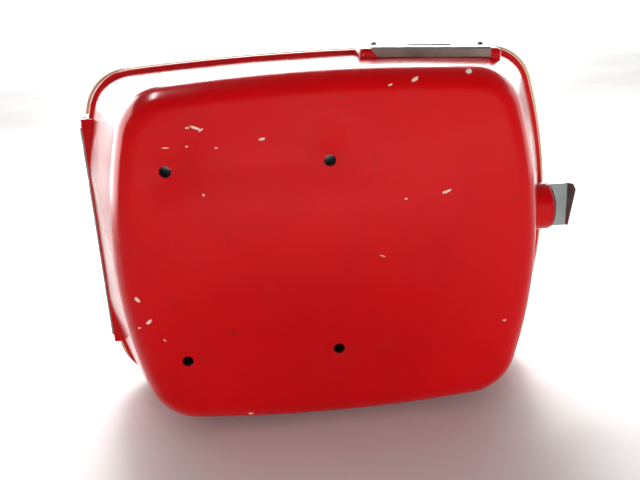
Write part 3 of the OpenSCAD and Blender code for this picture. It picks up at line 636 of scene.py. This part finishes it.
MATS = {
    "back_enamel": enamel("back_enamel", BACK_CHIPS, BACK_SCRATCHES, BACK_GHOSTS, chip_amount=0.0),
    "red_enamel": enamel("red_enamel", chip_amount=0.9),
    "zinc": metal("zinc", (0.40, 0.44, 0.43, 1), (0.27, 0.30, 0.30, 1), 0.34, UPRIGHT, rust=0.12),
    "steel": metal("steel", (0.36, 0.34, 0.31, 1), (0.20, 0.185, 0.17, 1), 0.38, ALONG_X, rust=0.35),
    "worn_plate": metal("worn_plate", (0.42, 0.36, 0.32, 1), (0.24, 0.19, 0.165, 1), 0.42, ALONG_X,
                        rust=0.25, metallic=0.75),
    "dark_steel": metal("dark_steel", (0.10, 0.09, 0.085, 1), (0.05, 0.045, 0.04, 1), 0.5, EVEN,
                        rust=0.3),
    "bright_steel": metal("bright_steel", (0.60, 0.59, 0.57, 1), (0.42, 0.41, 0.40, 1), 0.26,
                          (0.15, 1, 1), rust=0.10),
    "chrome": metal("chrome", (0.78, 0.79, 0.80, 1), (0.62, 0.63, 0.64, 1), 0.11, EVEN, rust=0.05,
                    grain_depth=0.00001),
    "brass": metal("brass", (0.62, 0.44, 0.17, 1), (0.34, 0.23, 0.09, 1), 0.27, EVEN),
    "rubber": soft_stuff("rubber", (0.020, 0.020, 0.021, 1), (0.045, 0.043, 0.041, 1), 0.70),
    "black_plastic": soft_stuff("black_plastic", (0.012, 0.012, 0.014, 1), (0.022, 0.022, 0.024, 1), 0.30,
                                depth=0.00003),
    "vinyl": soft_stuff("vinyl", (0.66, 0.44, 0.25, 1), (0.50, 0.30, 0.15, 1), 0.42, depth=0.00005),
    "card": soft_stuff("card", (0.80, 0.74, 0.60, 1), (0.68, 0.60, 0.45, 1), 0.85,
                       speck=300.0, depth=0.00003),
    "clear": clear_sheet("clear"),
}


def wear(obj, material):
    obj.data.materials.clear()
    obj.data.materials.append(MATS[material])


def dress(obj, body, nodes, material):
    """Gives a piece its material and its body, and hides the CAD nodes that it stands for."""
    wear(obj, material)
    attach(obj, body)
    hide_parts(*nodes)
    return obj


# ---- back shell ----------------------------------------------------------------
WALL_STEPS = 10


def shell_depths(inset):
    walls = [mix(EDGE_R, SHELL_D, i / WALL_STEPS) for i in range(1, WALL_STEPS + 1)]
    return edge_depths(EDGE_R, inset) + walls


HOLE_EDGE_R = 0.4
bolt_holes = [(circle(BOLT_R, sx * BOLT_W / 2, sz * BOLT_H / 2), HOLE_EDGE_R)
              for sx in (1, -1) for sz in (1, -1)]
back_shell = pressed_pan(
    "back_shell_pan",
    [place(shell_outline(d, 0), d, BOX_X) for d in shell_depths(0)],
    [place(shell_outline(d, SHEET), d, BOX_X) for d in shell_depths(SHEET)],
    bolt_holes, [])
dress(back_shell, "cabinet", ["rear_shell"], "back_enamel")

FLANGE_EDGE = 2.6
frame_inner = mouth_outline(-SHEET - FRAME_INSET)
frame_sections = [(frame_inner, SHELL_D)]
for c, s in arc_points(0, 90, 15):
    outline = mouth_outline(FRAME_LIP - FLANGE_EDGE * (1 - s))
    frame_sections.append((outline, SHELL_D + FLANGE_EDGE * (1 - c)))
for c, s in arc_points(0, 90, 15):
    outline = mouth_outline(FRAME_LIP - FLANGE_EDGE * (1 - c))
    frame_sections.append((outline, FRAME_FRONT - FLANGE_EDGE * (1 - s)))
frame_sections.append((frame_inner, FRAME_FRONT))
dress(band("front_frame_ring", frame_sections), "cabinet", ["front_frame"], "red_enamel")

SEAL_T, SEAL_HALF_W, SEAL_MIDDLE = 2.6, 3.25, -6.25
seal_sections = [(mouth_outline(SEAL_MIDDLE + SEAL_HALF_W * c), FRAME_FRONT + SEAL_T * s)
                 for c, s in arc_points(0, 180, 20)]
dress(band("door_seal_strip", seal_sections), "cabinet", ["door_seal"], "rubber")


# ---- door pan and its trim -------------------------------------------------------
DOOR_WALL_STEPS = 8
OPENING_EDGE_R = 0.5


def door_depths(inset):
    walls = [mix(DOOR_EDGE_R, DOOR_D, i / DOOR_WALL_STEPS) for i in range(1, DOOR_WALL_STEPS + 1)]
    return edge_depths(DOOR_EDGE_R, inset) + walls


window_hole = (round_rect(WINDOW_W, WINDOW_H, 16, WINDOW_X, WINDOW_Z), OPENING_EDGE_R)
head_hole = (round_rect(HEAD_W + 2 * HEAD_GAP, HEAD_H + 2 * HEAD_GAP, 12, HEAD_X, HEAD_Z), OPENING_EDGE_R)
inner_door = [place(door_outline(s, SHEET), DOOR_FRONT - s, BOX_X) for s in door_depths(SHEET)[:-1]]
inner_door.append(place(door_outline(DOOR_D - SHEET, SHEET), DOOR_BACK + SHEET, BOX_X))
rim_inner = door_outline(DOOR_D, SHEET + DOOR_RIM_W)
door_pan = pressed_pan(
    "door_pan",
    [place(door_outline(s, 0), DOOR_FRONT - s, BOX_X) for s in door_depths(0)],
    inner_door,
    [window_hole, head_hole],
    [place(rim_inner, DOOR_BACK, BOX_X), place(rim_inner, DOOR_BACK + SHEET, BOX_X)])
dress(door_pan, "door", ["door_shell"], "red_enamel")


# The trim stands out less at the top and bottom than at the sides.
TRIM_END_SHARE = 0.2


def trim_outline(t):
    """Between the door's wall (0) and the trim's outer line (1)."""
    wall = bowed(DOOR_A + 0.1, DOOR_B + 0.1, SIDE_BOW_R, MOUTH_BOW_R, MOUTH_CORNER_R)
    outer = bowed(MOUTH_A + FRAME_LIP + TRIM_OUT, MOUTH_B + FRAME_LIP + TRIM_OUT * TRIM_END_SHARE,
                  SIDE_BOW_R + 10, MOUTH_BOW_R, MOUTH_CORNER_R + FRAME_LIP)
    return [(mix(p[0], q[0], t), mix(p[1], q[1], t)) for p, q in zip(wall, outer)]


def off_hinge(x, z):
    return x < 100 or abs(z - HINGE_Z) > PAD_LEN / 2 + 1


TRIM_BACK, TRIM_FRONT = FRAME_FRONT + 1.0, DOOR_BACK + 5.0
TRIM_CROWN = 0.28
middle, half = (TRIM_BACK + TRIM_FRONT) / 2, (TRIM_FRONT - TRIM_BACK) / 2
trim_sections = [(trim_outline(0), TRIM_BACK)]
for c, s in arc_points(-90, 90, 15):
    trim_sections.append((trim_outline(1 - TRIM_CROWN * (1 - c)), middle + half * s))
trim_sections.append((trim_outline(0), TRIM_FRONT))
dress(band("door_trim_bead", trim_sections, off_hinge), "door", ["door_trim"], "vinyl")


# ---- pads, boss and coin plate ---------------------------------------------------
SEAT_GAP = 0.05


def solid_between(outline, d0, d1):
    """A plain solid between two depths, used only as a cutter."""
    b = Builder()
    made = b.skin([place(outline, d0, BOX_X), place(outline, d1, BOX_X)])
    b.cap(made[0])
    b.cap(made[-1])
    return b.make("cutter")


def cut_to_cabinet(obj):
    """Takes the back shell and the front frame out of a piece that stands on them."""
    b = Builder()
    depths = shell_depths(0)
    sections = [(shell_outline(d, -SEAT_GAP), d) for d in depths]
    sections[0] = (sections[0][0], depths[0] - SEAT_GAP)
    made = b.skin([place(outline, d, BOX_X) for outline, d in sections])
    b.cap(made[0])
    b.cap(made[-1])
    obj = cut(obj, b.make("cutter"))
    return cut(obj, solid_between(mouth_outline(FRAME_LIP + SEAT_GAP), SHELL_D - 0.02, FRAME_FRONT + 2))


PAD_FACE = BOX_X + HINGE_WALL + 1.0
PAD_BACK = HINGE_D - KNUCKLE_R - LEAF_W - 1.6
pad_low = (PAD_FACE - 32, PAD_BACK, HINGE_Z - PAD_LEN / 2)
pad_high = (PAD_FACE, FRAME_FRONT - 0.5, HINGE_Z + PAD_LEN / 2)
hinge_pad = cut_to_cabinet(block("hinge_pad_wedge", pad_low, pad_high, 1.3))
dress(hinge_pad, "cabinet", ["hinge_pad"], "red_enamel")

BOSS_END, BOSS_R, BOSS_L = BOX_X - MOUTH_A - 0.6, 24.5, 28
LATCH_D, LATCH_Z = 94.0, 6.0
boss = lathe("latch_boss_drum", rounded_profile(BOSS_L, BOSS_R, 2.2),
             (BOSS_END + BOSS_L, -LATCH_D, LATCH_Z), (-1, 0, 0))
dress(cut_to_cabinet(boss), "cabinet", ["latch_boss"], "red_enamel")

# The plate and its pad are made level at the origin and turned about the front top edge.
coin_plane = (Matrix.Translation(at(COIN_X, SHELL_D, COIN_TOP))
              @ Matrix.Rotation(math.radians(-COIN_TILT), 4, "Y")
              @ Matrix.Rotation(math.radians(-COIN_RAKE), 4, "X")
              @ Matrix.Translation(at(0, -SHELL_D, 0)))
coin_pad_half = COIN_L / 2 + 11.5
coin_pad = block("coin_pad_block", (-coin_pad_half, COIN_BACK, -30),
                 (coin_pad_half, SHELL_D - 1, -PLATE_T), 4.2)
dress(cut_to_cabinet(moved(coin_pad, coin_plane)), "cabinet", ["coin_pad"], "red_enamel")


BEND_R = 2.8
# Below CUT_START the hinge-side end slants inward by CUT_BACK for each millimetre down.
CUT_START, CUT_BACK = 4.2, 1.2


def coin_plate_section():
    """The plate's section as (depth, z): flat on top and bent down over its back edge."""
    outer, inner = BEND_R, BEND_R - PLATE_T
    front, back = SHELL_D - 0.2, COIN_BACK - PLATE_T
    bend_d = back + outer
    bend = arc_points(90, 180, 15)
    return [(front, 0.0),
            *[(bend_d + outer * c, -outer + outer * s) for c, s in bend],
            (back, -COIN_DROP), (COIN_BACK, -COIN_DROP),
            *[(bend_d + inner * c, -outer + inner * s) for c, s in reversed(bend)],
            (front, -PLATE_T)]


def bent_plate():
    """The bent plate, whose turned-down edge is cut back at a slant on the hinge side."""
    b = Builder()
    section = coin_plate_section()
    latch_end = [at(-COIN_L / 2, d, z) for d, z in section]
    hinge_end = [at(COIN_L / 2 - CUT_BACK * max(0.0, -CUT_START - z), d, z) for d, z in section]
    made = b.skin([latch_end, hinge_end])
    b.cap(made[0])
    b.cap(made[-1])
    return b.make("coin_plate_bent")


coin_plate = bent_plate()
slot_low = (-SLOT_L / 2, CHUTE_D - SLOT_W / 2, -6)
slot_high = (SLOT_L / 2, CHUTE_D + SLOT_W / 2, 6)
coin_plate = cut(coin_plate, block("cutter", slot_low, slot_high, 0.3))
dress(moved(coin_plate, coin_plane), "cabinet", ["coin_plate"], "worn_plate")
bezel = block("coin_slot_lip", (-22, CHUTE_D - 8, 0), (22, CHUTE_D + 8, 1.4), 0.6)
bezel = cut(bezel, block("cutter", slot_low, slot_high, 0.3))
dress(moved(bezel, coin_plane), "cabinet", ["coin_slot_bezel"], "chrome")


# ---- screws ----------------------------------------------------------------------
SCREW_SLOT_W = 0.7


def screw_set(name, spots, axis, radius, height, slot_turn):
    """Slotted dome heads at the given points, all facing along axis."""
    dome = [(height * (0.25 + 0.75 * s), max(0.02, radius * c)) for c, s in arc_points(0, 90, 15)]
    profile = [(-0.4, radius), *dome]
    face = Vector((0, 0, 1)).rotation_difference(Vector(axis)).to_matrix().to_4x4()
    heads = []
    for i, spot in enumerate(spots):
        head = lathe(name + "_head", profile, (0, 0, 0), (0, 0, 1), steps=32)
        slot = block("cutter", (-radius * 2, -SCREW_SLOT_W / 2, height * 0.45),
                     (radius * 2, SCREW_SLOT_W / 2, height * 2), 0.1)
        head = cut(head, slot)
        turn = Matrix.Rotation(math.radians(slot_turn + 67 * i), 4, "Z")
        heads.append(moved(head, Matrix.Translation(Vector(spot) * MM) @ face @ turn))
    return merged(name, heads)


LEAF_FACE = PAD_FACE + LEAF_T
HINGE_SCREWS = 6
screw_pitch = HINGE_LEN / HINGE_SCREWS
hinge_rows = [HINGE_Z + (i - (HINGE_SCREWS - 1) / 2) * screw_pitch for i in range(HINGE_SCREWS)]
leaf_start = KNUCKLE_R + 0.7
cabinet_leaf_d = HINGE_D - leaf_start - LEAF_W / 2
door_leaf_d = HINGE_D + leaf_start + DOOR_LEAF_W / 2
for name, node, body, d in (("cabinet_hinge_heads", "hinge_screws", "cabinet", cabinet_leaf_d),
                            ("door_hinge_heads", "door_hinge_screws", "door", door_leaf_d)):
    spots = [(LEAF_FACE, -d, z) for z in hinge_rows]
    dress(screw_set(name, spots, (1, 0, 0), 2.8, 1.3, 20), body, [node], "bright_steel")
lug_x = COIN_L / 2 - 5
lug_spots = [(-lug_x, -CHUTE_D, 0), (lug_x, -CHUTE_D, 0)]
lugs = screw_set("coin_plate_heads", lug_spots, (0, 0, 1), 3.1, 2.6, 35)
dress(moved(lugs, coin_plane), "cabinet", ["coin_plate_screws"], "dark_steel")

# ---- coin head -------------------------------------------------------------------
FACE_BACK, FACE_FRONT = DOOR_FRONT + 0.5, DOOR_FRONT + 3.5
DRAWER_FACE = FACE_FRONT + 0.6
DRAWER_Z, CUP_Z, CARD_Z = HEAD_Z - 69, HEAD_Z + 16, HEAD_Z + 88
LOCK_Z, LOCK_R = DRAWER_Z + 23, 8.0
BUTTON_X, BUTTON_Z, BUTTON_R = HEAD_X - 30, HEAD_Z + 50, 8.0
face_holes = [round_rect(100, 84, 5, HEAD_X, DRAWER_Z), round_rect(46, 33, 3, HEAD_X, CUP_Z),
              circle(BUTTON_R + 0.3, BUTTON_X, BUTTON_Z)]
face = plate("head_face", round_rect(HEAD_W, HEAD_H, 10, HEAD_X, HEAD_Z),
             FACE_BACK, FACE_FRONT, 1.0, face_holes)
dress(face, "cabinet", ["coin_faceplate"], "chrome")
corners = [(HEAD_X + sx * (HEAD_W / 2 - 6), -FACE_FRONT, HEAD_Z + sz * (HEAD_H / 2 - 6))
           for sx in (1, -1) for sz in (1, -1)]
face_screws = screw_set("head_face_screws", corners, (0, -1, 0), 2.9, 1.6, 50)
dress(face_screws, "cabinet", ["faceplate_screws"], "bright_steel")
drawer = plate("drawer_plate", round_rect(98, 82, 4, HEAD_X, DRAWER_Z),
               DOOR_FRONT - 1, DRAWER_FACE, 1.3, [circle(LOCK_R, HEAD_X, LOCK_Z)])
dress(drawer, "cash_box", ["drawer_front"], "chrome")


def collar(name, x, z, d, outer, inner, height):
    """A turned ring with a rounded outer edge, standing on the face at depth d."""
    profile = rounded_profile(height, outer, 1.4)
    profile += [(height, inner + 0.5), (height - 0.5, inner), (0, inner)]
    return lathe(name, profile, (x, -d, z), (0, -1, 0), hollow=True)


lock_collar = collar("lock_collar", HEAD_X, LOCK_Z, DRAWER_FACE, 13.0, LOCK_R, 2.8)
dress(lock_collar, "cash_box", ["lock_bezel"], "chrome")
button_collar = collar("button_collar", BUTTON_X, BUTTON_Z, FACE_FRONT, 12.0, BUTTON_R + 0.3, 3.0)
dress(button_collar, "cabinet", ["button_bezel"], "chrome")
# A thin stem behind, the rounded button, and a shallow dish in its face.
button_profile = [(-20, 4.0), (0, 4.0), *rounded_profile(15.0, BUTTON_R, 2.8, steps=9), (14.6, 1.5)]
button = lathe("push_button", button_profile, (BUTTON_X, -FACE_BACK + 4, BUTTON_Z), (0, -1, 0))
dress(button, "button", ["return_button"], "black_plastic")
holder = plate("card_frame", round_rect(90, 40, 5, HEAD_X, CARD_Z), FACE_FRONT, FACE_FRONT + 2.4, 0.9,
               [round_rect(80, 30, 1.5, HEAD_X, CARD_Z)])
dress(holder, "cabinet", ["card_holder"], "chrome")

# ---- window trim and door pull -----------------------------------------------------
TRIM_W = 8.0
window_trim = plate("window_trim",
                    round_rect(WINDOW_W + 2 * TRIM_W, WINDOW_H + 2 * TRIM_W, 22, WINDOW_X, WINDOW_Z),
                    DOOR_FRONT, DOOR_FRONT + 3, 1.3,
                    [round_rect(WINDOW_W - 4, WINDOW_H - 4, 12, WINDOW_X, WINDOW_Z)])
dress(window_trim, "door", ["window_bezel"], "chrome")

# The pull stands midway between the head's opening and the window's trim.
PULL_X = (HEAD_X + HEAD_W / 2 + HEAD_GAP + WINDOW_X - WINDOW_W / 2 - TRIM_W) / 2
PULL_HALF, PULL_REACH, PULL_R, PULL_BEND = 56.0, 26.0, 5.0, 12.0


def pull_path():
    """Points and directions as (depth, z) along the bent bar, from its lower foot to its upper one."""
    top = DOOR_FRONT + PULL_REACH
    lower = [(DOOR_FRONT, -PULL_HALF, 0)]
    for f in range(0, 91, 10):
        c, s = math.cos(math.radians(f)), math.sin(math.radians(f))
        lower.append((top - PULL_BEND + PULL_BEND * s, -PULL_HALF + PULL_BEND * (1 - c), f))
    upper = [(d, -z, 180 - f) for d, z, f in reversed(lower)]
    return lower + upper


def pull_bar():
    """A round bar along the pull's path."""
    b = Builder()
    rings = []
    for d, z, f in pull_path():
        across = (-math.sin(math.radians(f)), math.cos(math.radians(f)))
        rings.append([at(PULL_X + side, d + out * across[0], z + out * across[1])
                      for side, out in circle(PULL_R, steps=32)])
    made = b.skin(rings)
    b.cap(made[0])
    b.cap(made[-1])
    return b.make("pull_bar")


foot_profile = rounded_profile(2.5, 9.0, 1.2)
feet = [lathe("pull_foot", foot_profile, (PULL_X, -DOOR_FRONT, sz * PULL_HALF), (0, -1, 0))
        for sz in (1, -1)]
dress(merged("bent_pull", [pull_bar(), *feet]), "door", ["door_pull"], "chrome")

# ---- the CAD pieces that keep their own shape ------------------------------------
CAD_LOOK = {
    "steel": ["backing_plate", "hinge_leaf", "hinge_pin", "door_hinge_leaf", "latch_guide",
              "housing_bracket", "drawer_runners", "latch_cam", "trip_lever"],
    "zinc": ["partition", "paper_shelf", "side_guide", "rod_brackets", "coin_housing", "return_cup",
             "button_guide", "coin_chute", "latch_strike", "latch_handle", "latch_bolt", "cash_drawer",
             "follower_plate", "window_retainer"],
    "bright_steel": ["guide_rods", "coin_selector", "latch_spindle", "pull_screws"],
    "brass": ["lock_cam", "latch_bush", "lock_plug"],
    "chrome": ["return_flap"],
    "red_enamel": ["door_hinge_pad"],
    "rubber": ["latch_washer", "window_gasket"],
    "card": ["instruction_card"],
    "clear": ["window_lens"],
}
for material, nodes in CAD_LOOK.items():
    for node in nodes:
        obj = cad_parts[node]
        wear(obj, material)
        bevel = obj.modifiers.new("soft_edges", "BEVEL")
        bevel.width = 0.35 * MM
        bevel.segments = 2
        bevel.limit_method = "ANGLE"
        bevel.angle_limit = math.radians(40)

# ---- floor, light and camera -------------------------------------------------------
FLOOR_Z = -173.8


def floor_material():
    g = Graph("pale_floor")
    tone = g.noise(3.0, 4.0)
    color = g.blend(g.ramp(tone, 0.3, 0.7), (0.80, 0.79, 0.775, 1), (0.70, 0.69, 0.675, 1))
    return g.finish(color, g.ramp(tone, 0.3, 0.7, 0.42, 0.55), g.bump(g.noise(60.0, 3.0), 0.0003, 0.1))


def make_floor():
    b = Builder()
    size, steps = 6.0, 24
    marks = [size * (i / steps - 0.5) for i in range(steps + 1)]
    rows = [b.ring([Vector((x, y, 0)) for x in marks]) for y in marks]
    for r0, r1 in zip(rows, rows[1:]):
        b.join(r0, r1, closed=False)
    floor = b.make("floor")
    floor.data.materials.append(floor_material())
    floor.location = (0, 0, FLOOR_Z * MM)
    return floor


def aimed(light, direction):
    """An object that holds a light and points it along direction."""
    obj = bpy.data.objects.new(light.name, light)
    obj.rotation_mode = "QUATERNION"
    obj.rotation_quaternion = Vector(direction).to_track_quat("-Z", "Y")
    bpy.context.collection.objects.link(obj)
    return obj


def area_light(name, location, target, size, power):
    light = bpy.data.lights.new(name, "AREA")
    light.shape = "RECTANGLE"
    light.size, light.size_y = size
    light.energy = power
    obj = aimed(light, Vector(target) - Vector(location))
    obj.location = location
    return obj


def sun_light(name, direction, strength, spread):
    light = bpy.data.lights.new(name, "SUN")
    light.energy = strength
    light.angle = math.radians(spread)
    return aimed(light, direction)


def soft_only(light_object):
    """Keeps a light out of reflections and out of the picture itself."""
    light_object.visible_camera = False
    light_object.visible_glossy = False
    return light_object


def gloss_only(light_object):
    """Keeps a light out of everything but reflections."""
    light_object.visible_diffuse = False
    light_object.visible_camera = False
    light_object.visible_transmission = False
    return light_object


def change(tree, value, low, high, to_low, to_high):
    """A smooth change from to_low to to_high as value goes from low to high."""
    n = tree.nodes.new("ShaderNodeMapRange")
    n.interpolation_type = "SMOOTHSTEP"
    tree.links.new(value, n.inputs["Value"])
    n.inputs["From Min"].default_value = low
    n.inputs["From Max"].default_value = high
    n.inputs["To Min"].default_value = to_low
    n.inputs["To Max"].default_value = to_high
    return n.outputs["Result"]


def studio_world():
    """A white surround, dimmer overhead and dimmer towards +Y."""
    world = bpy.data.worlds.new("studio")
    world.use_nodes = True
    tree = world.node_tree
    direction = tree.nodes.new("ShaderNodeTexCoord").outputs["Generated"]
    split = tree.nodes.new("ShaderNodeSeparateXYZ")
    tree.links.new(direction, split.inputs[0])
    strength = tree.nodes.new("ShaderNodeMath")
    strength.operation = "MULTIPLY"
    tree.links.new(change(tree, split.outputs["Z"], 0.22, 0.60, 1.12, 0.32), strength.inputs[0])
    tree.links.new(change(tree, split.outputs["Y"], -0.3, 0.5, 1.0, 0.30), strength.inputs[1])
    background = tree.nodes["Background"]
    tree.links.new(strength.outputs[0], background.inputs["Strength"])
    background.inputs["Color"].default_value = (1.0, 1.0, 1.0, 1)
    return world


BOX_MIDDLE = (-0.07, 0, 0)
BOX_TOP = (-0.07, 0, 0.17)
floor = make_floor()
lights = [
    sun_light("daylight", (0.05, 0.80, -0.60), 3.5, 30),
    soft_only(area_light("back_fill", (-0.4, 1.6, 0.20), BOX_MIDDLE, (1.6, 0.8), 19)),
    gloss_only(area_light("top_glow", (-0.07, -1.9, 0.50), BOX_TOP, (3.2, 0.8), 70)),
    gloss_only(area_light("top_streak", (0.45, -0.05, 1.1), BOX_TOP, (0.5, 0.12), 16)),
    gloss_only(area_light("hinge_side_sheen", (1.3, -0.5, 0.25), (0.1, -0.06, 0), (1.6, 1.6), 110)),
    gloss_only(area_light("latch_side_sheen", (-1.45, -0.5, 0.25), (-0.3, -0.06, 0), (1.2, 1.0), 12)),
]
bpy.context.scene.world = studio_world()

camera_data = bpy.data.cameras.new("camera")
camera_data.lens = 42.2
camera = bpy.data.objects.new("camera", camera_data)
camera.location = (-0.0165, 0.6426, 0.2418)
camera.rotation_euler = [math.radians(angle) for angle in (70.90, 2.99, 175.165)]
bpy.context.collection.objects.link(camera)
bpy.context.scene.camera = camera
